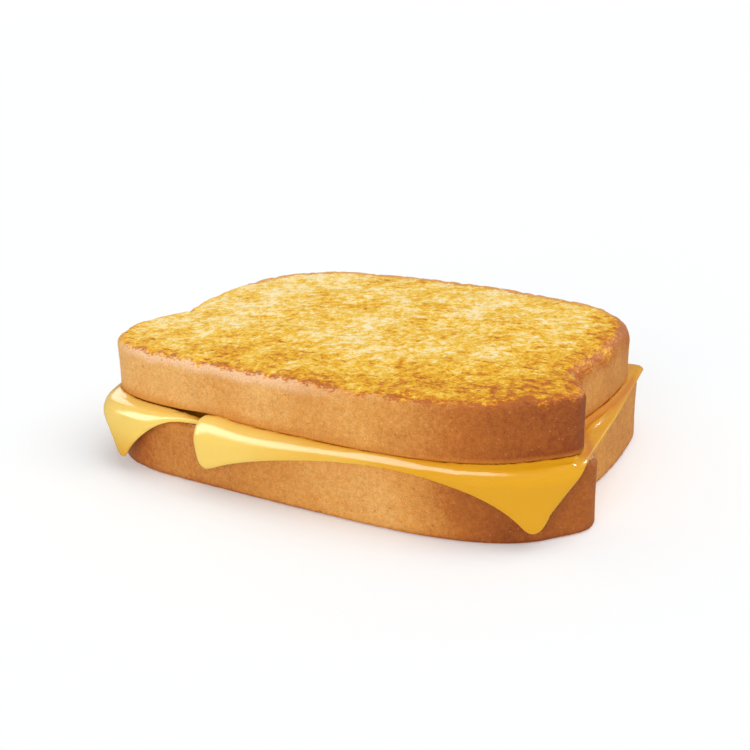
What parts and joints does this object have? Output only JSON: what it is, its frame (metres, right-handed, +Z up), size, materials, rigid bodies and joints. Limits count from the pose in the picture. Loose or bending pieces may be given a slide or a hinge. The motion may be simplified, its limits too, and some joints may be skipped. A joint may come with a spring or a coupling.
{
  "type": "grilled cheese sandwich",
  "caption": "Griddled cheese sandwich of tin-loaf bread, with melted cheese slices whose corners hang down over the crust.",
  "frame": {"origin": "middle of the underside of the whole sandwich's box", "axes": "+Z up through the slices, +X along the loaf slice's width, -Y towards the crown crust of the loaf"},
  "size_m": [0.1244, 0.0948, 0.03],
  "materials": {
    "lower_bread": "baked crust, dry and finely pored, with a griddled golden underside",
    "lower_cheese": "melted processed cheese, smooth, glossy and a little translucent",
    "upper_cheese": "melted processed cheese, smooth, glossy and a little translucent",
    "upper_bread": "buttered and griddled golden top with brown flecks, over a dry baked crust"
  },
  "bodies": {
    "root": {"bread_bottom": "lower_bread", "cheese_lower": "lower_cheese", "cheese_upper": "upper_cheese", "bread_top": "upper_bread"}
  },
  "joints": []
}
